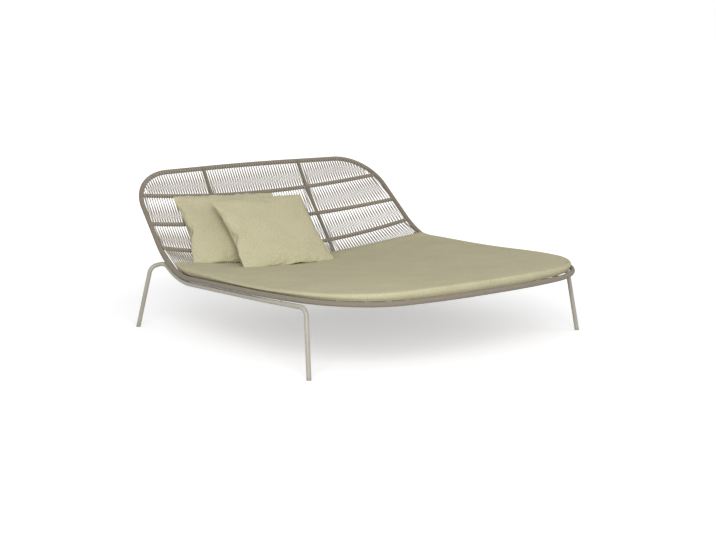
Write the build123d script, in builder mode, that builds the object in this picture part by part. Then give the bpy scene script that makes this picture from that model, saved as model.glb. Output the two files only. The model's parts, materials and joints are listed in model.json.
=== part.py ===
from build123d import *
from math import asin, cos, degrees, floor, radians, sin, sqrt, tan
import os

os.makedirs("parts", exist_ok=True)

# Lengths are in millimetres. Reaches run along Y from the origin, heights run up from the floor.

# Perimeter loop, on its centreline: front rail, side rails, crook and back hoop
seat_half_width = 842
front_reach = 1004
front_height = 340
front_corner_shares = [(0.297, 1.0), (0.713, 0.948), (0.92, 0.732)]
front_corner_radii = [2400, 400, 480]
widest_reach = -430
widest_height = 332
widest_radius = 1300
crook_half_width = 820
crook_reach = 472
crook_height = 283
crook_radius = 480
corner_half_width = 770
corner_reach = 962
corner_height = 735
corner_radius = 250
crown_reach = 1012
crown_height = 740
crown_radius = 4000
front_joint_share = 0.30
hoop_joint_share = 0.48
line_middle_share = 0.5
front_edge_end_share = 0.9
hoop_side_end_share = 0.3

# Tubes and the cord wound tightly round them
frame_tube_radius = 11
rib_tube_radius = 9
tube_wall = 2
wrap_thickness = 2
weld_gap = 0.2
wrap_gap = 0.25

# Two ribs run front to back under the seat and up the back
rib_offset = 312
rib_crook_reach = 570
rib_crook_height = 175
rib_crook_radius = 150
rib_bow_reach = 900
rib_bow_height = 588
rib_bow_radius = 1200
rib_wrap_reach = 548

# Cross rails: where each one meets the perimeter and where it crosses the ribs
upper_rail_side_reach = 860
upper_rail_rib_reach = 905
middle_rail_side_reach = 718
middle_rail_rib_reach = 798
lower_rail_side_reach = 602
lower_rail_rib_reach = 687
crook_rail_side_reach = 380
crook_rail_rib_reach = 530
seat_rear_rail_reach = 0
seat_front_rail_reach = -500

# Woven cord on the back, and straps under the cushion
cord_width = 7
cord_pitch = 16
cord_thickness = 4
strap_width = 40
strap_pitch = 75
strap_band_width = 18
strap_thickness = 3
cord_band_width = 3
weave_side_gap = 10
weave_edge_gap = 5
strand_side_share = 0.75

# Legs: front leg, runner under the side rail, rear leg
leg_tube_radius = 11
front_foot_half_width = 827
front_foot_reach = -750
front_leg_top_half_width = 802
front_leg_top_reach = -695
front_leg_top_height = 313
front_leg_bend_radius = 45
runner_gap = 26.5
runner_inboard = 2
runner_start_radius = 900
runner_end_reach = 505
rear_leg_top_half_width = 889
rear_leg_top_reach = 552
rear_leg_top_height = 321
rear_leg_inner_radius = 26
rear_leg_bend_radius = 40
rear_foot_half_width = 919
rear_foot_reach = 645
leg_joint_share = 0.30
spacer_radius = 5
spacer_shares = [0.08, 0.45, 0.90]
glide_height = 10
glide_plug_length = 14
plug_gap = 0.2

# Seat cushion: heights of its faces at its front and rear ends, at the sides and in the middle
cushion_inset = 16
cushion_front_reach = 1010
cushion_rear_reach = 640
cushion_top_front_side = 391
cushion_top_front_middle = 395
cushion_top_rear_side = 345
cushion_top_rear_middle = 250
cushion_base_front_side = 365
cushion_base_front_middle = 349
cushion_base_rear_side = 319
cushion_base_rear_middle = 167
cushion_edge_radius = 14
cushion_back_gap = 13
cover_thickness = 2
filling_gap = 0.3
plan_corner_radius = 190

# Throw pillows: each stands on its lower edge at a place, turned by a lean, a roll and a yaw
pillow_width = 560
pillow_height = 440
pillow_half_thickness = 45
pillow_side_draw = 14
pillow_layer_shares = [(-1.0, 0.45), (-0.62, 0.82), (0.0, 1.0), (0.62, 0.82), (1.0, 0.45)]
left_pillow_place = (-356, 484.7, 299)
left_pillow_turn = (-46.5, 2.3, -7.6)
right_pillow_place = (-186, 336, 292.5)
right_pillow_turn = (-45.3, 2.5, 3.9)


def flip(point):
    """The point's mirror image in the centre plane."""
    return Vector(-point.X, point.Y, point.Z)


def between(start, end, share):
    return start + (end - start) * share


def bent_line(points, radii):
    with BuildLine() as line:
        FilletPolyline(*points, radius=radii)
    return line.wire()


def along(line, axis, value, low=0.0, high=1.0):
    """The point of a line where one coordinate, which grows from low to high, has a value."""
    for _ in range(50):
        middle = (low + high) / 2
        if tuple(line.position_at(middle))[axis] < value:
            low = middle
        else:
            high = middle
    return line.position_at((low + high) / 2)


def rod(line, radius, bore=0):
    """A round bar, or a tube where it has a bore, along a line."""
    with BuildPart() as bar:
        with BuildSketch(Plane(origin=line @ 0, z_dir=line % 0)):
            Circle(radius)
            if bore:
                Circle(bore, mode=Mode.SUBTRACT)
        sweep(path=line)
    return bar.part


def tube(line, radius):
    return rod(line, radius, radius - tube_wall)


def wrap(line, radius):
    return rod(line, radius + wrap_thickness, radius + wrap_gap)


def trimmed(piece, *cutters):
    with BuildPart() as result:
        add(piece)
        for cutter in cutters:
            add(cutter, mode=Mode.SUBTRACT)
    return result.part


def mirrored(piece):
    with BuildPart() as result:
        add(piece)
        mirror(about=Plane.YZ, mode=Mode.REPLACE)
    return result.part


def save(piece, name):
    piece.label = name
    export_step(piece, f"parts/{name}.step")
    print(name, len(piece.solids()), round(piece.volume))


# Centreline of the perimeter, right half, from the front to the crown
front_corners = [
    Vector(x_share * seat_half_width, -y_share * front_reach, front_height)
    for x_share, y_share in front_corner_shares
]
widest = Vector(seat_half_width, widest_reach, widest_height)
crook = Vector(crook_half_width, crook_reach, crook_height)
corner = Vector(corner_half_width, corner_reach, corner_height)
crown = Vector(0, crown_reach, crown_height)
front_joint = between(widest, crook, front_joint_share)
hoop_joint = between(crook, corner, hoop_joint_share)

right_front_points = [*front_corners, widest, front_joint]
front_points = [flip(p) for p in reversed(right_front_points)] + right_front_points
front_radii = [widest_radius, *reversed(front_corner_radii), *front_corner_radii, widest_radius]
front_line = bent_line(front_points, front_radii)
side_line = bent_line([front_joint, crook, hoop_joint], [crook_radius])
hoop_points = [hoop_joint, corner, crown, flip(corner), flip(hoop_joint)]
hoop_line = bent_line(hoop_points, [corner_radius, crown_radius, corner_radius])

# Ribs
rib_front = along(front_line, 0, rib_offset)
hoop_back = bent_line(list(reversed(hoop_points)), [corner_radius, crown_radius, corner_radius])
rib_top = along(hoop_back, 0, rib_offset)
rib_crook = Vector(rib_offset, rib_crook_reach, rib_crook_height)
rib_bow = Vector(rib_offset, rib_bow_reach, rib_bow_height)
rib_line = bent_line([rib_front, rib_crook, rib_bow, rib_top], [rib_crook_radius, rib_bow_radius])
rib_wrap_start = along(rib_line, 1, rib_wrap_reach)
rib_wrap_line = rib_line.trim(rib_line.param_at_point(rib_wrap_start), 1)


class CrossRail:
    """A rail bowed on one arc from side to side, through its crossings with both ribs."""

    def __init__(self, end, crossing, skin):
        self.end = end
        self.skin = skin
        rise = Vector(0, end.Y - crossing.Y, end.Z - crossing.Z)
        self.rise = rise.normalized()
        centre = (end.X**2 - crossing.X**2 + rise.length**2) / (2 * rise.length)
        self.radius = sqrt(crossing.X**2 + centre**2)
        self.middle = Vector(0, crossing.Y, crossing.Z) - self.rise * (self.radius - centre)

    def at(self, x):
        sag = self.radius - sqrt(self.radius**2 - x**2)
        return self.middle + Vector(x, 0, 0) + self.rise * sag

    def line(self):
        tip = self.at(self.end.X - frame_tube_radius / 2)
        with BuildLine() as arc:
            ThreePointArc(flip(tip), self.middle, tip)
        return arc.wire()

    def edge_band(self, low, high, width, thickness, direction):
        """A flat band beside the rail, from one X to another, on the side of a direction."""
        centre = self.middle + self.rise * self.radius
        axis = Axis(centre, Vector(1, 0, 0).cross(self.rise))
        start, stop = degrees(asin(low / self.radius)), degrees(asin(high / self.radius))
        plane = Plane(self.middle + direction * self.skin, x_dir=direction, z_dir=(1, 0, 0))
        with BuildPart() as band:
            with BuildSketch(plane):
                Rectangle(width, thickness, align=(Align.MIN, Align.CENTER))
            revolve(axis=axis, revolution_arc=stop - start)
        return band.part.rotate(axis, start)


class PerimeterEdge:
    """A stretch of the wrapped perimeter that strands end on."""

    def __init__(self, line, low, high):
        self.line = line
        self.span = (low, high)
        self.skin = frame_tube_radius + wrap_thickness + weave_edge_gap
        self.end = Vector(seat_half_width, 0, 0)

    def at(self, x):
        if x < 0:
            return flip(self.at(-x))
        return along(self.line, 0, x, *self.span)


def perimeter_at(reach):
    """The perimeter's centreline point on the right at a reach."""
    if reach < front_joint.Y:
        return along(front_line, 1, reach, low=line_middle_share)
    if reach < hoop_joint.Y:
        return along(side_line, 1, reach)
    return along(hoop_line, 1, reach, high=hoop_side_end_share)


wrapped_skin = rib_tube_radius + wrap_thickness + weld_gap
bare_skin = rib_tube_radius + weld_gap


def cross_rail(side_reach, rib_reach, skin):
    return CrossRail(perimeter_at(side_reach), along(rib_line, 1, rib_reach), skin)


upper_rail = cross_rail(upper_rail_side_reach, upper_rail_rib_reach, wrapped_skin)
middle_rail = cross_rail(middle_rail_side_reach, middle_rail_rib_reach, wrapped_skin)
lower_rail = cross_rail(lower_rail_side_reach, lower_rail_rib_reach, wrapped_skin)
crook_rail = cross_rail(crook_rail_side_reach, crook_rail_rib_reach, bare_skin)
seat_rear_rail = cross_rail(seat_rear_rail_reach, seat_rear_rail_reach, bare_skin)
seat_front_rail = cross_rail(seat_front_rail_reach, seat_front_rail_reach, bare_skin)
hoop_edge = PerimeterEdge(hoop_back, line_middle_share, 1)
front_edge = PerimeterEdge(front_line, line_middle_share, front_edge_end_share)
back_rails = {"upper": upper_rail, "middle": middle_rail, "lower": lower_rail}
seat_rails = {"crook": crook_rail, "seat_rear": seat_rear_rail, "seat_front": seat_front_rail}

# Solid bars used as cutters, a little larger than the tubes and wraps that they stand for
right_side_bar = rod(side_line, frame_tube_radius + weld_gap)
perimeter_bars = [
    rod(front_line, frame_tube_radius + weld_gap),
    rod(hoop_line, frame_tube_radius + weld_gap),
    right_side_bar,
    mirrored(right_side_bar),
]
wrapped_radius = frame_tube_radius + wrap_thickness + weld_gap
right_side_wrapped = rod(side_line, wrapped_radius)
wrapped_bars = [
    rod(front_line, wrapped_radius),
    rod(hoop_line, wrapped_radius),
    right_side_wrapped,
    mirrored(right_side_wrapped),
]
right_rib_bar = rod(rib_line, rib_tube_radius + weld_gap)
rib_bars = [right_rib_bar, mirrored(right_rib_bar)]
right_rib_wrapped = rod(rib_line, rib_tube_radius + wrap_thickness + weld_gap)
ribs_wrapped = [right_rib_wrapped, mirrored(right_rib_wrapped)]
all_rails = [*back_rails.values(), *seat_rails.values()]
rail_bars = [rod(rail.line(), rib_tube_radius + weld_gap) for rail in all_rails]

# Leg hoop on the right
front_foot = Vector(front_foot_half_width, front_foot_reach, 0)
front_leg_top = Vector(front_leg_top_half_width, front_leg_top_reach, front_leg_top_height)
rear_leg_top = Vector(rear_leg_top_half_width, rear_leg_top_reach, rear_leg_top_height)
rear_foot = Vector(rear_foot_half_width, rear_foot_reach, 0)


def below(line_start, line_end):
    """The step from a stretch of the perimeter to the runner that lies parallel under it."""
    run = (line_end - line_start).normalized()
    return Vector(-runner_inboard, run.Z * runner_gap, -run.Y * runner_gap)


def above_floor(foot, top, height):
    """The point of a straight leg at a height."""
    return between(foot, top, height / top.Z)


front_ankle = above_floor(front_foot, front_leg_top, glide_height)
rear_ankle = above_floor(rear_foot, rear_leg_top, glide_height)
front_step, rear_step = below(widest, crook), below(crook, hoop_joint)
runner_front = widest + front_step
runner_back = hoop_joint + rear_step
leg_joint = between(front_leg_top, runner_front, leg_joint_share)
bend_half_angle = radians((crook - widest).get_angle(hoop_joint - crook) / 2)
runner_crook = crook + (front_step + rear_step) / 2 / cos(bend_half_angle) ** 2
runner_points = [leg_joint, runner_front, runner_crook, runner_back]
runner_whole = bent_line(runner_points, [runner_start_radius, crook_radius + runner_gap])
rear_joint = along(runner_whole, 1, runner_end_reach)
runner_line = runner_whole.trim(0, runner_whole.param_at_point(rear_joint))
rear_run = runner_line % 1
rear_leg_inner = rear_joint + rear_run * ((rear_leg_top_reach - rear_joint.Y) / rear_run.Y)
front_leg_line = bent_line([front_ankle, front_leg_top, leg_joint], [front_leg_bend_radius])
rear_leg_points = [rear_joint, rear_leg_inner, rear_leg_top, rear_ankle]
rear_leg_line = bent_line(rear_leg_points, [rear_leg_inner_radius, rear_leg_bend_radius])
runner_bar = rod(runner_line, leg_tube_radius + weld_gap)


def spacer_line(share):
    """A short line from the runner up to the side of the perimeter tube beside it."""
    start = runner_line.position_at(share)
    with BuildLine() as line:
        Line(start, perimeter_at(start.Y))
    return line.wire()


spacer_lines = [spacer_line(share) for share in spacer_shares]
spacer_bars = [rod(line, spacer_radius + weld_gap) for line in spacer_lines]
left_spacer_bars = [mirrored(bar) for bar in spacer_bars]


# Frame tubes
save(tube(front_line, frame_tube_radius), "front_rail_tube")
side_tube = tube(side_line, frame_tube_radius)
save(side_tube, "side_rail_tube_right")
save(mirrored(side_tube), "side_rail_tube_left")
save(tube(hoop_line, frame_tube_radius), "back_hoop_tube")

rib_tube = trimmed(tube(rib_line, rib_tube_radius), perimeter_bars[0], perimeter_bars[1])
save(rib_tube, "rib_tube_right")
save(mirrored(rib_tube), "rib_tube_left")

for kind, rails in (("back_rail", back_rails), ("cross_rail", seat_rails)):
    for name, rail in rails.items():
        rail_tube = trimmed(tube(rail.line(), rib_tube_radius), *perimeter_bars, *rib_bars)
        save(rail_tube, f"{kind}_tube_{name}")

# Cord wound round the tubes
front_wrap = trimmed(wrap(front_line, frame_tube_radius), *rib_bars, *rail_bars)
save(trimmed(front_wrap, *spacer_bars, *left_spacer_bars), "front_rail_wrap")
side_wrap = trimmed(wrap(side_line, frame_tube_radius), *rib_bars, *rail_bars, *spacer_bars)
save(side_wrap, "side_rail_wrap_right")
save(mirrored(side_wrap), "side_rail_wrap_left")
save(trimmed(wrap(hoop_line, frame_tube_radius), *rib_bars, *rail_bars), "back_hoop_wrap")
rib_wrap = trimmed(wrap(rib_wrap_line, rib_tube_radius), wrapped_bars[1], *rail_bars)
save(rib_wrap, "rib_wrap_right")
save(mirrored(rib_wrap), "rib_wrap_left")
for name, rail in back_rails.items():
    sleeve = wrap(rail.line(), rib_tube_radius)
    save(trimmed(sleeve, *wrapped_bars[1:], *ribs_wrapped), f"back_rail_wrap_{name}")


def strand(upper, lower, upper_x, lower_x, width, thickness, band):
    """One flat strand, stretched straight between two edges, or nothing where they come too close."""
    start, end = upper.at(upper_x), lower.at(lower_x)
    run = end - start
    gaps = []
    for edge, x in ((upper, upper_x), (lower, lower_x)):
        tangent = edge.at(x + width / 2) - edge.at(x - width / 2)
        angle = radians(tangent.get_angle(run))
        overlap = band / 2 if isinstance(edge, CrossRail) else abs(width / tan(angle))
        gaps.append(edge.skin / sin(angle) + overlap)
    length = run.length - sum(gaps)
    if length < width:
        return None
    middle = start + run.normalized() * (gaps[0] + length / 2)
    place = Plane(middle, x_dir=run, z_dir=Vector(1, 0, 0).cross(run))
    return place.location * Box(length, width, thickness, mode=Mode.PRIVATE)


def bay(upper, lower, rib_side, width, thickness, pitch, band):
    """The strands of one bay, joined beside each rail: the middle bay, or the right one by its rib."""
    side_gap = frame_tube_radius + wrap_thickness + weave_side_gap + width * strand_side_share
    narrow = min(upper.end.X, lower.end.X)
    rails = [rail for rail in (upper, lower) if isinstance(rail, CrossRail)]
    near = rib_side + wrapped_skin + width / 2 if rib_side else wrapped_skin + width / 2 - rib_offset
    ends = {}
    for edge in (upper, lower):
        reach = edge.end.X if isinstance(edge, CrossRail) else narrow
        ends[edge] = reach - side_gap if rib_side else -near
    count = floor((max(ends.values()) - near) / pitch)
    strands = []
    for index in range(count + 1):
        upper_x, lower_x = (near + (ends[edge] - near) * index / count for edge in (upper, lower))
        piece = strand(upper, lower, upper_x, lower_x, width, thickness, band)
        if piece:
            strands.append(piece)
    run = (lower.at(0) - upper.at(0)).normalized()
    with BuildPart() as net:
        for rail in rails:
            direction = run if rail is upper else -run
            add(rail.edge_band(near - width / 2, ends[rail] + width / 2, band, thickness, direction))
        add(strands)
    return net.part


def panel(upper, lower, *sizes):
    """The left, middle and right bays of a row of strands between two edges."""
    right = bay(upper, lower, rib_offset, *sizes)
    return {"left": mirrored(right), "middle": bay(upper, lower, 0, *sizes), "right": right}


weave_rows = {
    "top": (hoop_edge, upper_rail),
    "upper": (upper_rail, middle_rail),
    "lower": (middle_rail, lower_rail),
    "crook": (lower_rail, crook_rail),
}
strap_rows = {
    "rear": (crook_rail, seat_rear_rail),
    "middle": (seat_rear_rail, seat_front_rail),
    "front": (seat_front_rail, front_edge),
}
cord_sizes = (cord_width, cord_thickness, cord_pitch, cord_band_width)
strap_sizes = (strap_width, strap_thickness, strap_pitch, strap_band_width)
for row, edges in weave_rows.items():
    for bay_name, net in panel(*edges, *cord_sizes).items():
        save(net, f"weave_{row}_{bay_name}")
for row, edges in strap_rows.items():
    with BuildPart() as straps:
        add(list(panel(*edges, *strap_sizes).values()))
    save(straps.part, f"seat_straps_{row}")


# Legs, runners and what joins them to the seat
def save_pair(piece, name):
    save(piece, f"{name}_right")
    save(mirrored(piece), f"{name}_left")


def glide(foot, ankle):
    """A plug in the end of a leg, cut flat at the floor."""
    run = (ankle - foot).normalized()
    sole = foot - run * leg_tube_radius
    with BuildPart() as plug:
        with BuildSketch(Plane(sole, z_dir=run)):
            Circle(leg_tube_radius)
        extrude(amount=(ankle - sole).length)
        with BuildSketch(Plane(ankle, z_dir=run)):
            Circle(leg_tube_radius - tube_wall - plug_gap)
        extrude(amount=glide_plug_length)
        split(bisect_by=Plane.XY, keep=Keep.TOP)
    return plug.part


save_pair(tube(front_leg_line, leg_tube_radius), "front_leg")
save_pair(tube(runner_line, leg_tube_radius), "runner")
save_pair(tube(rear_leg_line, leg_tube_radius), "rear_leg")
save_pair(glide(front_foot, front_ankle), "foot_glide_front")
save_pair(glide(rear_foot, rear_ankle), "foot_glide_rear")
spacers = [trimmed(rod(line, spacer_radius), *perimeter_bars, runner_bar) for line in spacer_lines]
with BuildPart() as spacer_group:
    add(spacers)
save_pair(spacer_group.part, "runner_spacers")


# Seat cushion, cut to the inside of the perimeter and hollowed where the back's lowest row leans in
def plan_prism(inset):
    """A tall block with the plan of the perimeter, drawn in by an inset."""
    loop = [*right_front_points[:-1], crook, corner, crown]
    loop += [flip(p) for p in reversed(loop[:-1])]
    radii = [*front_corner_radii, widest_radius, crown_radius, plan_corner_radius, crown_radius]
    radii += list(reversed(radii[:-1]))
    with BuildPart() as prism:
        with BuildSketch():
            with BuildLine():
                FilletPolyline(*[(p.X, p.Y) for p in loop], radius=radii, close=True)
            make_face()
            offset(amount=-inset)
        extrude(amount=corner_height + front_height)
    return prism.part


def dished_face(reach, top_side, top_middle, base_side, base_middle):
    """A section across the cushion, at a reach."""
    half = seat_half_width
    with BuildSketch(Plane.XZ.offset(-reach)) as section:
        with BuildLine():
            ThreePointArc((-half, top_side), (0, top_middle), (half, top_side))
            Line((half, top_side), (half, base_side))
            ThreePointArc((half, base_side), (0, base_middle), (-half, base_side))
            Line((-half, base_side), (-half, top_side))
        make_face()
    return section.sketch


def region_behind(rail, shift):
    """The plane region behind a rail's arc, moved forward by a shift."""
    x = seat_half_width
    rise = (rail.at(x) - rail.middle).dot(rail.rise)
    plane = Plane(rail.middle + shift, x_dir=(1, 0, 0), z_dir=Vector(1, 0, 0).cross(rail.rise))
    with BuildSketch(plane) as region:
        with BuildLine():
            ThreePointArc((-x, rise), (0, 0), (x, rise))
            Line((x, rise), (x, -x))
            Line((x, -x), (-x, -x))
            Line((-x, -x), (-x, rise))
        make_face()
    return region.sketch


def cushion_block(inset, gap):
    """The cushion's outer shape, or an inner one where it is drawn in further."""
    drop = inset - cushion_inset
    run = (lower_rail.middle - crook_rail.middle).normalized()
    shift = Vector(1, 0, 0).cross(run) * (cushion_back_gap + gap)
    front = (cushion_top_front_side - drop, cushion_top_front_middle - drop)
    rear = (cushion_top_rear_side - drop, cushion_top_rear_middle - drop)
    front_base = (cushion_base_front_side + drop, cushion_base_front_middle + drop)
    rear_base = (cushion_base_rear_side + drop, cushion_base_rear_middle + drop)
    with BuildPart() as block:
        add(dished_face(-cushion_front_reach, *front, *front_base))
        add(dished_face(cushion_rear_reach, *rear, *rear_base))
        loft(ruled=True)
        add(plan_prism(inset), mode=Mode.INTERSECT)
    with BuildPart() as scoop:
        add(region_behind(lower_rail, shift))
        add(region_behind(crook_rail, shift))
        add(region_behind(crook_rail, shift - run * rib_crook_radius))
        loft(ruled=True)
    with BuildPart() as cushion:
        add(block.part)
        add(scoop.part, mode=Mode.SUBTRACT)
        top = cushion.faces().filter_by(GeomType.BSPLINE).sort_by(SortBy.AREA)[-1]
        fillet(top.edges(), cushion_edge_radius - drop)
    return cushion.part


block = cushion_block(cushion_inset, 0)
cover_gap = cover_thickness + filling_gap
core = cushion_block(cushion_inset + cover_thickness, cover_thickness)
save(trimmed(block, core), "seat_cushion_cover")
save(cushion_block(cushion_inset + cover_gap, cover_gap), "seat_cushion_foam")


def pillow_form(place, turn, grow):
    """A crowned pillow whose sides pull in between its corners, grown or drawn in all round."""
    lean, roll, yaw = turn
    x, z = pillow_width / 2 + grow, pillow_height / 2 + grow
    thickness = pillow_half_thickness + grow
    with BuildPart() as form:
        for thickness_share, size_share in pillow_layer_shares:
            with BuildSketch(Plane.XZ.offset(thickness * thickness_share)):
                with BuildLine():
                    cx, cz = x * size_share, z * size_share
                    dx, dz = cx - pillow_side_draw * size_share, cz - pillow_side_draw * size_share
                    ThreePointArc((-cx, -cz), (0, -dz), (cx, -cz))
                    ThreePointArc((cx, -cz), (dx, 0), (cx, cz))
                    ThreePointArc((cx, cz), (0, dz), (-cx, cz))
                    ThreePointArc((-cx, cz), (-dx, 0), (-cx, -cz))
                make_face()
        loft(ruled=True)
    upright = Location((0, 0, pillow_height / 2))
    turned = Rotation(0, 0, yaw) * Rotation(lean, 0, 0) * Rotation(0, roll, 0)
    return Location(place) * turned * upright * form.part


pillow_poses = {
    "right": (right_pillow_place, right_pillow_turn),
    "left": (left_pillow_place, left_pillow_turn),
}
for side, pose in pillow_poses.items():
    save(trimmed(pillow_form(*pose, 0), pillow_form(*pose, -cover_thickness)), f"pillow_cover_{side}")
    save(pillow_form(*pose, -cover_gap), f"pillow_filling_{side}")
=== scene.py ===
import json
from math import cos, pi, radians, sin, sqrt, tan

import bpy
from mathutils import Matrix, Vector
from mathutils.noise import noise


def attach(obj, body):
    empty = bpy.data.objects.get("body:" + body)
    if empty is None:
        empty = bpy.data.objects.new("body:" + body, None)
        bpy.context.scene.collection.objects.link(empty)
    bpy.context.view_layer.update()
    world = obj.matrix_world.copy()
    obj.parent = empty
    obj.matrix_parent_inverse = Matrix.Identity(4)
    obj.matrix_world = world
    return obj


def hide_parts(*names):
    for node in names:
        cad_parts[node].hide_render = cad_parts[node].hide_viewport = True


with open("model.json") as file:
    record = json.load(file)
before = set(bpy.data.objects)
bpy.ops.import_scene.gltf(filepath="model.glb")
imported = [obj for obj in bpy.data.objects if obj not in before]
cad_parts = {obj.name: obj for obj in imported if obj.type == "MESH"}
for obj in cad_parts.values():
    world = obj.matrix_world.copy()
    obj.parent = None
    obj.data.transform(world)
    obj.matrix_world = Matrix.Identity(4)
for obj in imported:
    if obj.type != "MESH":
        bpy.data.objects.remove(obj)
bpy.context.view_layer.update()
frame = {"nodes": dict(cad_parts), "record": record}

# Lengths are in metres, in the frame's own axes.

# Camera, at the photograph's place
image_width = 716
focal_pixels = 1450
sensor_width = 36
camera_place = (-4.3506, -5.8295, 1.6546)
camera_azimuth = -36.748
camera_drop = 10.640

# Perimeter loop on its centreline, right half, and its corner radii
front_points = [(0.2501, -1.004, 0.340), (0.6003, -0.9518, 0.340), (0.7746, -0.7349, 0.340)]
widest = (0.842, -0.430, 0.332)
crook = (0.820, 0.472, 0.283)
corner = (0.770, 0.962, 0.735)
crown = (0.0, 1.012, 0.740)
front_radii = [2.4, 0.4, 0.48]
widest_radius = 1.3
crook_radius = 0.48
corner_radius = 0.25
crown_radius = 4.0
front_joint_share = 0.30
hoop_joint_share = 0.48
arc_step = 0.01
arc_least_points = 4

# Ribs and rails: each rail's distance back at the perimeter and at the ribs
rib_x = 0.312
rib_crook = (0.312, 0.570, 0.175)
rib_bow = (0.312, 0.900, 0.588)
rib_crook_radius = 0.15
rib_bow_radius = 1.2
rib_wrap_reach = 0.548
rail_reaches = {
    "upper": (0.860, 0.905),
    "middle": (0.718, 0.798),
    "lower": (0.602, 0.687),
    "crook": (0.380, 0.530),
}
rail_steps = 200

# Tubes and the cord wound on them
frame_radius = 0.013
rail_radius = 0.011
wound_pitch = 0.0052
wound_depth = 0.0016
wound_roundness = 0.7
wound_steps = 4
wound_sides = 14

# Woven cord
weave_cord_radius = 0.0022
weave_cord_sunk = 0.0036
weave_pitch = 0.016
weave_gap = 0.001
weave_turn_bevel = 0.7
weave_shortest_run = 3
weave_sides = 7
hoop_past_crown = 0.05

# Seat cushion: each face's height at the sides and in the middle, first in front and then at the rear
cushion_top = ((0.391, 0.395), (0.345, 0.250))
cushion_base = ((0.365, 0.349), (0.319, 0.167))
cushion_half = 0.842
cushion_front_reach = -1.010
cushion_rear_reach = 0.640
cushion_centre = (0, -0.25, 0)
cushion_inset = 0.016
cushion_crown = 0.006
cushion_crown_steepness = 4
back_gap = 0.0195
plan_step = 0.002
plan_side_points = 240
plan_back_points = 120
plan_back_guess = 0.5
plan_back_rounds = 30

# Cushion edge, from the drooping lower corner to the seam inside the rounded upper one
edge_droop = 0.010
droop_rear_end = 0.47
droop_fade = 0.10
low_edge_out = 0.003
low_edge_radius = 0.007
low_edge_steps = 5
edge_radius = 0.013
edge_steps = 8
edge_bulge = 0.002
edge_overhang = 0.010
overhang_full = 0.35
overhang_none = 0.50
seam_depth = 0.0015
seam_share = 0.006
seam_half = 0.003

# Cushion top: the sides dip behind the front corners, and the rear edge turns up
side_dip = 0.018
side_dip_start = 0.08
rear_lift = 0.010
rear_lift_range = (0.38, 0.47)
rear_lift_middle = 0.3

# Cushion rings, as shares of the way in to the centre; the droop's part of the last base rings
base_shares = (0.97, 0.75, 0.5, 0.25)
droop_shares = ((0.12, 0.0), (0.07, 0.12), (0.04, 0.4), (0.02, 0.75), (0.008, 0.95))
edge_shares = (0.25, 0.5, 0.75)
seam_shares = [0.003, 0.006, 0.009, 0.014, 0.02, 0.035]
top_first_share = 0.05
top_span = 0.93
top_rings = 50

# Unevenness of the cushion's top: height, waves across, waves front to back, and where the noise is read
cushion_waves = ((0.0026, 3.1, 2.3, 0.4), (0.0012, 12, 5, 2.1), (0.0006, 30, 34, 5.7))
cushion_wave_steepness = 12

# Throw pillows: place of the lower edge's middle, then lean, roll and yaw in degrees
pillows = {
    "left": ((-0.358, 0.4920, 0.306), (-46.5, 2.3, -7.6)),
    "right": ((-0.186, 0.336, 0.2925), (-45.3, 2.5, 3.9)),
}
pillow_size = (0.560, 0.440)
pillow_ease = 1.04
pillow_half = 0.047
pillow_seed_step = 3.1

# Pillow panels before they are blown up, and the cloth
panel_columns = 72
panel_rows = 56
panel_spare = 1.06
panel_rise = 0.012
panel_unevenness = 0.0015
panel_side_bulge = -0.008
panel_end_bulge = 0.052
corner_taper = 0.02
cloth_frames = 20
cloth_quality = 6
cloth_mass = 0.25
cloth_stretch_stiffness = 30
cloth_shear_stiffness = 12
cloth_bending_stiffness = 0.08
cloth_pressure = 2.0

# Gathers along the pillows' seams
pucker_depth = 0.0075
pucker_rise_width = 0.008
pucker_width = 0.065
pucker_fade = 1.5
pucker_waves = (34, 9)
pucker_seed_steps = (5.3, 2.7)
pucker_sideways = 0.3

# Stage: the floor glows to the camera with the distance from the object; lights have place, size and power
floor_half = 40
floor_colour = (0.78, 0.78, 0.79)
floor_glow = {"From Min": 1.4, "From Max": 3.4, "To Min": 0.47, "To Max": 0.80}
world_strength = 0.50
white = (1, 1, 1, 1)
light_target = (0, 0, 0.3)
lights = {
    "key": ((-3.8, -5.1, 3.2), 4.5, 340),
    "fill": ((4.5, -3.5, 3.0), 3.5, 50),
}


def clamped(value):
    return min(1, max(0, value))


def mix(a, b, share):
    return a + (b - a) * share


def ramp(value, low, high):
    """0 below one value, 1 above another, and a smooth rise between."""
    t = clamped((value - low) / (high - low))
    return t * t * (3 - 2 * t)


# Lines
def flip(point):
    return Vector((-point[0], point[1], point[2]))


def flipped(line):
    return [flip(p) for p in line]


def rounded(points, radii):
    """Evenly fine points along a polyline whose corners are rounded by tangent arcs."""
    points = [Vector(p) for p in points]
    out = [points[0]]
    for before, here, after, radius in zip(points, points[1:], points[2:], radii):
        a, b = (before - here).normalized(), (after - here).normalized()
        half = a.angle(b) / 2
        reach = radius / tan(half)
        start, centre = here + a * reach, here + (a + b).normalized() * (radius / sin(half))
        sweep = pi - 2 * half
        count = max(arc_least_points, int(sweep * radius / arc_step))
        normal = (start - centre).cross(here + b * reach - centre).normalized()
        for k in range(count + 1):
            out.append(centre + Matrix.Rotation(sweep * k / count, 3, normal) @ (start - centre))
    out.append(points[-1])
    return out


def resampled(line, step):
    """The same line with points at a steady step."""
    lengths = [0.0]
    for a, b in zip(line, line[1:]):
        lengths.append(lengths[-1] + (b - a).length)
    count = max(2, round(lengths[-1] / step))
    out, seg = [], 0
    for k in range(count + 1):
        s = lengths[-1] * k / count
        while seg < len(line) - 2 and lengths[seg + 1] < s:
            seg += 1
        span = lengths[seg + 1] - lengths[seg]
        out.append(line[seg].lerp(line[seg + 1], (s - lengths[seg]) / span if span else 0))
    return out


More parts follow.
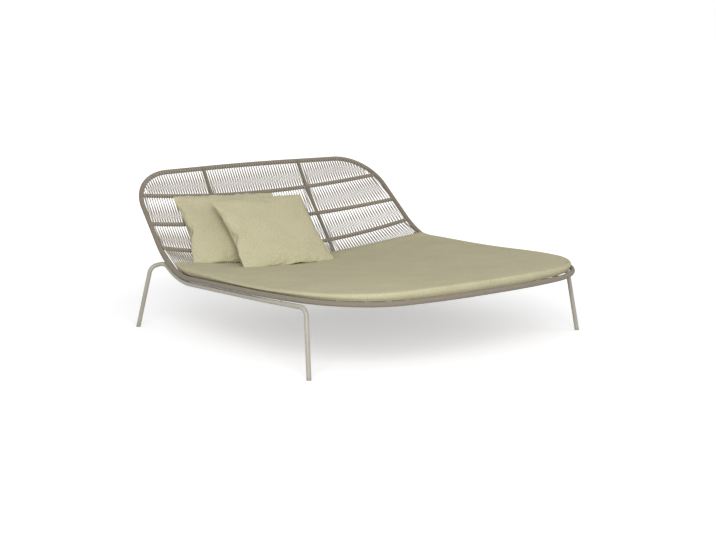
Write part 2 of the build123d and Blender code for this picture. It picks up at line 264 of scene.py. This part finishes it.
def at(line, axis, value):
    """The point of a line where one coordinate first passes a value."""
    for a, b in zip(line, line[1:]):
        if (a[axis] - value) * (b[axis] - value) <= 0 and a[axis] != b[axis]:
            return a.lerp(b, (value - a[axis]) / (b[axis] - a[axis]))
    return line[-1]


# Centrelines
right_front = [Vector(p) for p in (*front_points, widest)]
front_joint = Vector(widest).lerp(Vector(crook), front_joint_share)
hoop_joint = Vector(crook).lerp(Vector(corner), hoop_joint_share)
front_line = rounded(
    [flip(front_joint), *flipped(reversed(right_front)), *right_front, front_joint],
    [widest_radius, *reversed(front_radii), *front_radii, widest_radius],
)
side_line = rounded([front_joint, crook, hoop_joint], [crook_radius])
hoop_line = rounded(
    [hoop_joint, corner, crown, flip(corner), flip(hoop_joint)],
    [corner_radius, crown_radius, corner_radius],
)
rib_top = at(hoop_line, 0, rib_x)
rib_front = at(front_line[len(front_line) // 2:], 0, rib_x)
rib_line = rounded([rib_front, rib_crook, rib_bow, rib_top], [rib_crook_radius, rib_bow_radius])


class Rail:
    """A rail bowed on one arc through its crossings with both ribs."""

    def __init__(self, side_reach, rib_reach):
        line = side_line if side_reach < hoop_joint.y else hoop_line
        self.end = at(line, 1, side_reach)
        crossing = at(rib_line, 1, rib_reach)
        rise = Vector((0, self.end.y - crossing.y, self.end.z - crossing.z))
        self.rise = rise.normalized()
        centre = (self.end.x**2 - crossing.x**2 + rise.length**2) / (2 * rise.length)
        self.radius = sqrt(crossing.x**2 + centre**2)
        self.middle = Vector((0, crossing.y, crossing.z)) - self.rise * (self.radius - centre)

    def at(self, x):
        sag = self.radius - sqrt(self.radius**2 - x**2)
        return self.middle + Vector((x, 0, 0)) + self.rise * sag

    def line(self):
        reach = self.end.x - frame_radius / 2
        return [self.at(-reach + 2 * reach * k / rail_steps) for k in range(rail_steps + 1)]


class HoopEdge:
    """The hoop, as the top edge of the weave: its right half, from a little past the crown."""

    end = Vector(corner)
    half = [p for p in reversed(hoop_line) if p.x > -hoop_past_crown]

    def at(self, x):
        point = at(self.half, 0, abs(x))
        return flip(point) if x < 0 else point


rails = {name: Rail(*reaches) for name, reaches in rail_reaches.items()}


# Mesh builders
def linked(name, data):
    obj = bpy.data.objects.new(name, data)
    bpy.context.scene.collection.objects.link(obj)
    return obj


def new_mesh(name, verts, faces):
    mesh = bpy.data.meshes.new(name)
    mesh.from_pydata([tuple(p) for p in verts], [], faces)
    mesh.validate()
    mesh.polygons.foreach_set("use_smooth", [True] * len(mesh.polygons))
    return linked(name, mesh)


def dress(obj, body, slot, *nodes):
    """Give a visible piece its body, its material and the solids that it is seen instead of."""
    obj.data.materials.append(materials[slot])
    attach(obj, body)
    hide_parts(*nodes)


def ring_faces(rings, count):
    """Faces from each ring of points to the next, and one face over each end."""
    faces = []
    for i in range(rings - 1):
        for k in range(count):
            n = (k + 1) % count
            faces.append((i * count + k, i * count + n, (i + 1) * count + n, (i + 1) * count + k))
    faces.append(tuple(reversed(range(count))))
    faces.append(tuple((rings - 1) * count + k for k in range(count)))
    return faces


def frames_along(line):
    """For each point: its place and two directions square to the line, without twist."""
    last = len(line) - 1
    tangents = [(line[min(k + 1, last)] - line[max(k - 1, 0)]).normalized() for k in range(last + 1)]
    side = tangents[0].orthogonal().normalized()
    out = []
    for place, tangent in zip(line, tangents):
        side = (side - tangent * side.dot(tangent)).normalized()
        out.append((place, side, tangent.cross(side)))
    return out


def tube_mesh(line, radius, sides, wave=None):
    """Verts and faces of a tube; wave gives a change of radius from distance along and angle."""
    verts, along, last = [], 0.0, line[0]
    for place, a, b in frames_along(line):
        along += (place - last).length
        last = place
        for k in range(sides):
            angle = 2 * pi * k / sides
            r = radius + (wave(along, angle) if wave else 0)
            verts.append(place + (a * cos(angle) + b * sin(angle)) * r)
    return verts, ring_faces(len(line), sides)


# Materials
def material(name, colour, roughness):
    mat = bpy.data.materials.new(name)
    mat.use_nodes = True
    shader = mat.node_tree.nodes["Principled BSDF"]
    shader.inputs["Base Color"].default_value = (*colour, 1)
    shader.inputs["Roughness"].default_value = roughness
    return mat, mat.node_tree, shader


def math_node(tree, operation, *values):
    """The result of one operation on numbers and other nodes' outputs."""
    node = tree.nodes.new("ShaderNodeMath")
    node.operation = operation
    for socket, value in zip(node.inputs, values):
        if isinstance(value, bpy.types.NodeSocket):
            tree.links.new(value, socket)
        else:
            socket.default_value = value
    return node.outputs[0]


def noise_height(tree, scale, detail):
    coords = tree.nodes.new("ShaderNodeTexCoord")
    texture = tree.nodes.new("ShaderNodeTexNoise")
    texture.inputs["Scale"].default_value = scale
    texture.inputs["Detail"].default_value = detail
    tree.links.new(coords.outputs["Object"], texture.inputs["Vector"])
    return texture.outputs["Fac"]


def woven_height(tree, scale):
    """The threads of a plain weave, from two crossed fine waves."""
    coords = tree.nodes.new("ShaderNodeTexCoord")
    waves = []
    for direction in ("X", "Z"):
        wave = tree.nodes.new("ShaderNodeTexWave")
        wave.bands_direction = direction
        wave.inputs["Scale"].default_value = scale
        wave.inputs["Distortion"].default_value = 0.6
        wave.inputs["Detail"].default_value = 1
        tree.links.new(coords.outputs["Object"], wave.inputs["Vector"])
        waves.append(wave.outputs["Fac"])
    return math_node(tree, "MULTIPLY", *waves)


def vary(tree, shader, height, dark, light, low=0.3, high=0.7):
    """Run the colour from dark to light between two heights of a texture."""
    spread = tree.nodes.new("ShaderNodeValToRGB")
    for stop, position, colour in zip(spread.color_ramp.elements, (low, high), (dark, light)):
        stop.position = position
        stop.color = (*colour, 1)
    tree.links.new(height, spread.inputs["Fac"])
    tree.links.new(spread.outputs["Color"], shader.inputs["Base Color"])


def add_bump(tree, shader, height, strength, distance):
    bump = tree.nodes.new("ShaderNodeBump")
    bump.inputs["Strength"].default_value = strength
    bump.inputs["Distance"].default_value = distance
    tree.links.new(height, bump.inputs["Height"])
    tree.links.new(bump.outputs["Normal"], shader.inputs["Normal"])


def cord_material(name, dark, light):
    mat, tree, shader = material(name, light, roughness=0.85)
    vary(tree, shader, noise_height(tree, scale=420, detail=3), dark, light)
    add_bump(tree, shader, woven_height(tree, scale=320), strength=0.5, distance=0.0006)
    shader.inputs["Sheen Weight"].default_value = 0.15
    return mat


def fabric_material(name, dark, light):
    mat, tree, shader = material(name, light, roughness=0.95)
    fine, broad = noise_height(tree, scale=210, detail=3), noise_height(tree, scale=7, detail=5)
    fine_share = 0.78
    broad_part = math_node(tree, "MULTIPLY", broad, 1 - fine_share)
    both = math_node(tree, "MULTIPLY_ADD", fine, fine_share, broad_part)
    vary(tree, shader, both, dark, light, low=0.38, high=0.62)
    add_bump(tree, shader, woven_height(tree, scale=260), strength=0.45, distance=0.0007)
    shader.inputs["Specular IOR Level"].default_value = 0.12
    shader.inputs["Sheen Weight"].default_value = 0.04
    return mat


def coated_material(name, dark, light, roughness):
    mat, tree, shader = material(name, light, roughness)
    vary(tree, shader, noise_height(tree, scale=30, detail=4), dark, light)
    add_bump(tree, shader, noise_height(tree, scale=900, detail=2), strength=0.12, distance=0.0003)
    return mat


materials = {
    "frame_tube": coated_material("frame_tube", (0.22, 0.19, 0.15), (0.27, 0.23, 0.18), 0.5),
    "wound_cord": cord_material("wound_cord", (0.175, 0.148, 0.108), (0.275, 0.238, 0.183)),
    "woven_cord": cord_material("woven_cord", (0.31, 0.27, 0.21), (0.46, 0.41, 0.33)),
    "strap_webbing": fabric_material("strap_webbing", (0.28, 0.25, 0.19), (0.34, 0.30, 0.24)),
    "leg_coating": coated_material("leg_coating", (0.36, 0.335, 0.28), (0.41, 0.38, 0.32), 0.42),
    "glide_plastic": coated_material("glide_plastic", (0.30, 0.27, 0.22), (0.36, 0.33, 0.27), 0.6),
    "cushion_fabric": fabric_material("cushion_fabric", (0.44, 0.405, 0.26), (0.56, 0.52, 0.345)),
    "pillow_fabric": fabric_material("pillow_fabric", (0.48, 0.445, 0.29), (0.60, 0.56, 0.375)),
    "foam": fabric_material("foam", (0.7, 0.66, 0.56), (0.78, 0.74, 0.65)),
}
slots = {row["node"]: row["material_slot"] for row in frame["record"]["subparts"]}
for node, solid in frame["nodes"].items():
    solid.data.materials.clear()
    solid.data.materials.append(materials[slots[node]])


# Wound cord on the frame
def wound(name, line, radius, node):
    """Cord wound tightly round a tube: a sleeve with one helical ridge per turn."""
    def ridge(along, angle):
        turn = along / wound_pitch - angle / (2 * pi)
        return -wound_depth * (1 - abs(sin(pi * turn)) ** wound_roundness)

    mesh = tube_mesh(resampled(line, wound_pitch / wound_steps), radius, wound_sides, ridge)
    dress(new_mesh(name, *mesh), "frame", "wound_cord", node)


rib_wrapped = [p for p in rib_line if p.y > rib_wrap_reach]
wound("wound_cord_front_rail", front_line, frame_radius, "front_rail_wrap")
wound("wound_cord_side_rail_right", side_line, frame_radius, "side_rail_wrap_right")
wound("wound_cord_side_rail_left", flipped(side_line), frame_radius, "side_rail_wrap_left")
wound("wound_cord_back_hoop", hoop_line, frame_radius, "back_hoop_wrap")
wound("wound_cord_rib_right", rib_wrapped, rail_radius, "rib_wrap_right")
wound("wound_cord_rib_left", flipped(rib_wrapped), rail_radius, "rib_wrap_left")
for level in ("upper", "middle", "lower"):
    wound(f"wound_cord_rail_{level}", rails[level].line(), rail_radius, f"back_rail_wrap_{level}")


# Woven cord: one cord per bay, wound round the two rails beside it
def winding(upper, lower, low, high, radii, shift):
    """The path of one cord that leans one way in front of two rails and the other way behind them."""
    upper_ring, lower_ring = (radius + weave_cord_radius - weave_cord_sunk for radius in radii)
    turns = round(abs(high[0] - low[0]) / weave_pitch)

    def place(edge, row, turn):
        return edge.at(low[row] + (high[row] - low[row]) * clamped(turn / turns))

    path = []
    for k in range(-1, turns):
        for front in (True, False):
            a = place(upper, 0, k + shift + (0 if front else 1))
            b = place(lower, 1, k + shift + 0.5)
            if (b - a).length < weave_shortest_run * (upper_ring + lower_ring):
                continue
            run = (b - a).normalized()
            out = Vector((1, 0, 0)).cross(run)
            if (out.y < 0) != front:
                out = -out
            run_up, run_down = run * upper_ring, run * lower_ring
            out_up, out_down = out * upper_ring, out * lower_ring
            stretch = [
                a - run_up,
                a - (run_up - out_up) * weave_turn_bevel,
                a + out_up,
                b + out_down,
                b + (run_down + out_down) * weave_turn_bevel,
                b + run_down,
            ]
            path += stretch if front else stretch[-2:0:-1]
    return path


weave_rows = {
    "top": (HoopEdge(), rails["upper"], frame_radius),
    "upper": (rails["upper"], rails["middle"], rail_radius),
    "lower": (rails["middle"], rails["lower"], rail_radius),
    "crook": (rails["lower"], rails["crook"], rail_radius),
}
rib_clear = rail_radius + weave_cord_radius + weave_gap
side_clear = frame_radius + weave_cord_radius + weave_gap
for index, (row, (upper, lower, upper_radius)) in enumerate(weave_rows.items()):
    side = [edge.end.x - side_clear for edge in (upper, lower)]
    inner, outer = [rib_x - rib_clear] * 2, [rib_x + rib_clear] * 2
    bays = {
        "left": ([-x for x in side], [-x for x in outer]),
        "middle": ([-x for x in inner], inner),
        "right": (outer, side),
    }
    for bay, (low, high) in bays.items():
        path = winding(upper, lower, low, high, (upper_radius, rail_radius), 0.5 * (index % 2))
        woven = new_mesh(f"woven_cord_{row}_{bay}", *tube_mesh(path, weave_cord_radius, weave_sides))
        dress(woven, "frame", "woven_cord", f"weave_{row}_{bay}")


# Seat cushion
def share_back(y):
    return (y - cushion_front_reach) / (cushion_rear_reach - cushion_front_reach)


def dished(x, y, face):
    """Height of a cushion face: a line from front to rear, lower in the middle than at the sides."""
    side, middle = (mix(front, rear, share_back(y)) for front, rear in zip(*face))
    return middle + (side - middle) * (x / cushion_half) ** 2


def top_height(x, y):
    dip = sin(pi * clamped((share_back(y) - side_dip_start) / (1 - side_dip_start))) ** 2
    lift = ramp(y, *rear_lift_range) * ramp(abs(x), 0, rear_lift_middle)
    return dished(x, y, cushion_top) - side_dip * dip * (x / cushion_half) ** 4 + rear_lift * lift


def overhang(y):
    """How much of the edge's overhang there is: all of it, except near the back."""
    return ramp(-y, -overhang_none, -overhang_full)


def back_reach(x, z):
    """Where the woven back is at a height, less the gap."""
    low, high = rails["crook"].at(x), rails["lower"].at(x)
    return mix(low.y, high.y, (z - low.z) / (high.z - low.z)) - back_gap


def cushion_side():
    """The right half of the perimeter, moved in."""
    perimeter = [p for p in front_line if p.x > 0] + side_line[1:]
    out = []
    for a, b in zip(perimeter, perimeter[1:]):
        run = Vector((b.x - a.x, b.y - a.y, 0)).normalized()
        out.append(a + Vector((-run.y, run.x, 0)) * cushion_inset)
    return out


def plan(face):
    """A face's outline seen from above, each point with the height of the tube beside it."""
    edge = cushion_side()
    start = Vector((0, edge[0].y, edge[0].z))
    fine = resampled(
        [start] + [p for p in edge if p.y < back_reach(p.x, dished(p.x, p.y, face))], plan_step
    )
    half = [fine[round(k * (len(fine) - 1) / plan_side_points)] for k in range(plan_side_points + 1)]
    last = half[-1]
    for k in range(1, plan_back_points + 1):
        x = last.x * (1 - k / plan_back_points)
        y = plan_back_guess
        for _ in range(plan_back_rounds):
            y = mix(y, back_reach(x, dished(x, y, face)), 0.5)
        half.append(Vector((x, y, last.z)))
    return half + flipped(reversed(half[1:-1]))


def toward_centre(points, share):
    x, y, _ = cushion_centre
    return [Vector((mix(p.x, x, share), mix(p.y, y, share), p.z)) for p in points]


def on_base(points):
    return [Vector((p.x, p.y, dished(p.x, p.y, cushion_base))) for p in points]


def edge_droops(base):
    """How far the edge droops to the tube at each point: along the front and sides, not along the back."""
    out = []
    for k, p in enumerate(base):
        on_side = k <= plan_side_points or k >= len(base) - plan_side_points
        depth = min(0, p.z + edge_droop - dished(p.x, p.y, cushion_base))
        out.append(depth * clamped((droop_rear_end - p.y) / droop_fade) if on_side else 0)
    return out


def top_ring(points, share):
    """One ring of the top face, with the stitched seam, the crown and the fabric's unevenness."""
    seam = seam_depth * max(0, 1 - abs(share - seam_share) / seam_half)
    crowned = cushion_crown * (1 - (1 - clamped(share * cushion_crown_steepness)) ** 2)
    fade = clamped(share * cushion_wave_steepness)
    ring = []
    for p in toward_centre(points, share):
        z = top_height(p.x, p.y) - seam + crowned
        for height, across, back, place in cushion_waves:
            z += height * noise(Vector((p.x * across, p.y * back, place))) * fade
        ring.append(Vector((p.x, p.y, z)))
    return ring


def cushion_mesh():
    """Rings of points from the middle of the base, out round the edge and in to the middle of the top."""
    top, base = plan(cushion_top), plan(cushion_base)
    count = len(top)
    inward = []
    for k in range(count):
        run = top[(k + 1) % count] - top[k - 1]
        inward.append(Vector((-run.y, run.x, 0)).normalized())

    def moved(points, distances, rise=0):
        """Points moved inward, each by its own distance, and up."""
        return [p + d * s + Vector((0, 0, rise)) for p, d, s in zip(points, inward, distances)]

    def quarter_round(points, radius, steps, height):
        """Rings round a quarter circle; height gives the distances in and up at an angle."""
        for step in range(steps + 1):
            distance, rise = height(pi / 2 * step / steps)
            yield moved(points, [radius * distance] * count, radius * rise)

    droop = edge_droops(base)
    rings = [on_base(toward_centre(base, share)) for share in base_shares]
    for share, part in droop_shares:
        ring = on_base(toward_centre(base, share))
        rings.append([p + Vector((0, 0, depth * part)) for p, depth in zip(ring, droop)])
    low_edge = [p + Vector((0, 0, depth)) for p, depth in zip(on_base(base), droop)]
    low_edge = moved(low_edge, [-low_edge_out * overhang(p.y) for p in base])
    rings += quarter_round(low_edge, low_edge_radius, low_edge_steps, lambda a: (1 - sin(a), 1 - cos(a)))

    over = [edge_overhang * overhang(p.y) for p in top]
    crest = [Vector((p.x, p.y, top_height(p.x, p.y) - edge_radius)) for p in top]
    crest = moved(crest, [-s for s in over])
    foot = moved(low_edge, [0] * count, low_edge_radius)
    for share in edge_shares:
        wall = [mix(a, b, share) for a, b in zip(foot, crest)]
        rings.append(moved(wall, [-edge_bulge * sin(pi * share)] * count))
    rings += quarter_round(crest, edge_radius, edge_steps, lambda a: (1 - cos(a), sin(a)))

    inner = moved(top, [edge_radius - s for s in over])
    top_shares = [top_first_share + top_span * k / top_rings for k in range(top_rings + 1)]
    rings += [top_ring(inner, share) for share in seam_shares + top_shares]
    return [p for ring in rings for p in ring], ring_faces(len(rings), count)


cushion = new_mesh("seat_cushion", *cushion_mesh())
dress(cushion, "seat_cushion", "cushion_fabric", "seat_cushion_cover", "seat_cushion_foam")


# Throw pillows
def pillow_panels(width, height):
    """Two square panels sewn together round their edges, a little apart in the middle."""
    verts, faces, index = [], [], {}
    for side in (-1, 1):
        for j in range(panel_rows + 1):
            for i in range(panel_columns + 1):
                edge = i in (0, panel_columns) or j in (0, panel_rows)
                if edge and side == 1:
                    index[side, i, j] = index[-1, i, j]
                    continue
                u, w = 2 * i / panel_columns - 1, 2 * j / panel_rows - 1
                rise = panel_rise * ((1 - u**4) * (1 - w**4)) ** 0.5
                rise += panel_unevenness * noise(Vector((u * 5, w * 4, side * 3.3)))
                index[side, i, j] = len(verts)
                x = u * width / 2 * (1 + panel_side_bulge * (1 - w * w) - corner_taper * w**8)
                z = w * height / 2 * (1 + panel_end_bulge * (1 - u * u) - corner_taper * u**8)
                verts.append(Vector((x, 0 if edge else side * max(rise, 0), z)))
    for side in (-1, 1):
        for j in range(panel_rows):
            for i in range(panel_columns):
                quad = [index[side, i + a, j + b] for a, b in ((0, 0), (1, 0), (1, 1), (0, 1))]
                faces.append(tuple(quad if side == -1 else reversed(quad)))
    return verts, faces


def blow_up(obj):
    """Blow the sewn panels up as cloth and keep the shape that they come to."""
    scene = bpy.context.scene
    cloth = obj.modifiers.new("cloth", "CLOTH")
    cloth.settings.quality = cloth_quality
    cloth.settings.mass = cloth_mass
    cloth.settings.tension_stiffness = cloth_stretch_stiffness
    cloth.settings.compression_stiffness = cloth_stretch_stiffness
    cloth.settings.shear_stiffness = cloth_shear_stiffness
    cloth.settings.bending_stiffness = cloth_bending_stiffness
    cloth.settings.use_pressure = True
    cloth.settings.uniform_pressure_force = cloth_pressure
    cloth.settings.effector_weights.gravity = 0
    cloth.collision_settings.use_collision = False
    cloth.point_cache.frame_start = 1
    cloth.point_cache.frame_end = cloth_frames
    for number in range(1, cloth_frames + 1):
        scene.frame_set(number)
    blown = obj.evaluated_get(bpy.context.evaluated_depsgraph_get())
    shape = [vertex.co.copy() for vertex in blown.data.vertices]
    obj.modifiers.clear()
    scene.frame_set(1)
    for vertex, place in zip(obj.data.vertices, shape):
        vertex.co = place


def pucker(x, z, size, seed):
    """Small gathers that run in from the seams, strongest just inside them."""
    total = 0
    for across, along, length in ((x, z, size[0]), (z, x, size[1])):
        inside = max(0, length / 2 - abs(across))
        fade = clamped(inside / pucker_rise_width) * clamped(1 - inside / pucker_width) ** pucker_fade
        place = seed + (across > 0) * pucker_seed_steps[0]
        total += fade * noise(Vector((along * pucker_waves[0], across * pucker_waves[1], place)))
    return total * pucker_depth


def stuffed(name, size, seed):
    """A pillow blown up as cloth, then set to its sewn size and gathered along its seams."""
    width, height = size
    obj = new_mesh(name, *pillow_panels(width * panel_spare, height * panel_spare))
    blow_up(obj)
    scale = []
    for axis, half in enumerate((width / 2, pillow_half, height / 2)):
        scale.append(half / max(abs(vertex.co[axis]) for vertex in obj.data.vertices))
    for vertex in obj.data.vertices:
        x, y, z = (c * f for c, f in zip(vertex.co, scale))
        gather = pucker(x, z, size, seed + (y > 0) * pucker_seed_steps[1])
        vertex.co = (x, y + gather * (-1 if y < 0 else 1), z + gather * pucker_sideways)
    return obj


for number, (name, (place, (lean, roll, yaw))) in enumerate(pillows.items()):
    size = [pillow_ease * length for length in pillow_size]
    pillow = stuffed(f"throw_pillow_{name}", size, pillow_seed_step * number)
    pose = Matrix.Translation(place) @ Matrix.Rotation(radians(yaw), 4, "Z")
    pose = pose @ Matrix.Rotation(radians(lean), 4, "X") @ Matrix.Rotation(radians(roll), 4, "Y")
    pillow.data.transform(pose @ Matrix.Translation((0, 0, pillow_size[1] / 2)))
    smoother = pillow.modifiers.new("smoother", "SUBSURF")
    smoother.levels = smoother.render_levels = 1
    dress(pillow, f"pillow_{name}", "pillow_fabric", f"pillow_cover_{name}", f"pillow_filling_{name}")


# Stage
def seen_directly(tree):
    """1 for rays from the camera, also by way of a mirror or glass, and 0 for light."""
    path = tree.nodes.new("ShaderNodeLightPath")
    seen = path.outputs["Is Camera Ray"]
    for kind in ("Is Glossy Ray", "Is Transmission Ray"):
        seen = math_node(tree, "MAXIMUM", seen, path.outputs[kind])
    return seen


def floor_material():
    mat, tree, shader = material("floor", floor_colour, roughness=1.0)
    coords = tree.nodes.new("ShaderNodeTexCoord")
    distance = tree.nodes.new("ShaderNodeVectorMath")
    distance.operation = "LENGTH"
    tree.links.new(coords.outputs["Object"], distance.inputs[0])
    glow = tree.nodes.new("ShaderNodeMapRange")
    for socket, value in floor_glow.items():
        glow.inputs[socket].default_value = value
    tree.links.new(distance.outputs["Value"], glow.inputs["Value"])
    strength = math_node(tree, "MULTIPLY", seen_directly(tree), glow.outputs["Result"])
    tree.links.new(strength, shader.inputs["Emission Strength"])
    shader.inputs["Emission Color"].default_value = white
    shader.inputs["Specular IOR Level"].default_value = 0
    return mat


def set_world():
    """An even light, seen by the camera as white."""
    world = bpy.data.worlds.new("world")
    bpy.context.scene.world = world
    world.use_nodes = True
    nodes, links = world.node_tree.nodes, world.node_tree.links
    background = nodes["Background"]
    background.inputs["Color"].default_value = white
    background.inputs["Strength"].default_value = world_strength
    backdrop = nodes.new("ShaderNodeBackground")
    backdrop.inputs["Color"].default_value = white
    switch = nodes.new("ShaderNodeMixShader")
    links.new(seen_directly(world.node_tree), switch.inputs["Fac"])
    links.new(background.outputs[0], switch.inputs[1])
    links.new(backdrop.outputs[0], switch.inputs[2])
    links.new(switch.outputs[0], nodes["World Output"].inputs["Surface"])


def area_light(name, place, size, power):
    data = bpy.data.lights.new(name, "AREA")
    data.size = size
    data.energy = power
    light = linked(name, data)
    light.location = place
    light.rotation_euler = (Vector(light_target) - Vector(place)).to_track_quat("-Z", "Y").to_euler()


def set_camera():
    data = bpy.data.cameras.new("camera")
    data.sensor_width = sensor_width
    data.lens = focal_pixels / image_width * sensor_width
    camera = linked("camera", data)
    camera.location = camera_place
    camera.rotation_euler = (radians(90 - camera_drop), 0, radians(camera_azimuth))
    bpy.context.scene.camera = camera


floor_corners = [(x * floor_half, y * floor_half, 0) for x, y in ((-1, -1), (1, -1), (1, 1), (-1, 1))]
floor = new_mesh("floor", floor_corners, [(0, 1, 2, 3)])
floor.data.materials.append(floor_material())
set_world()
for name, (place, size, power) in lights.items():
    area_light(name, place, size, power)
set_camera()
bpy.context.scene.view_settings.view_transform = "Standard"
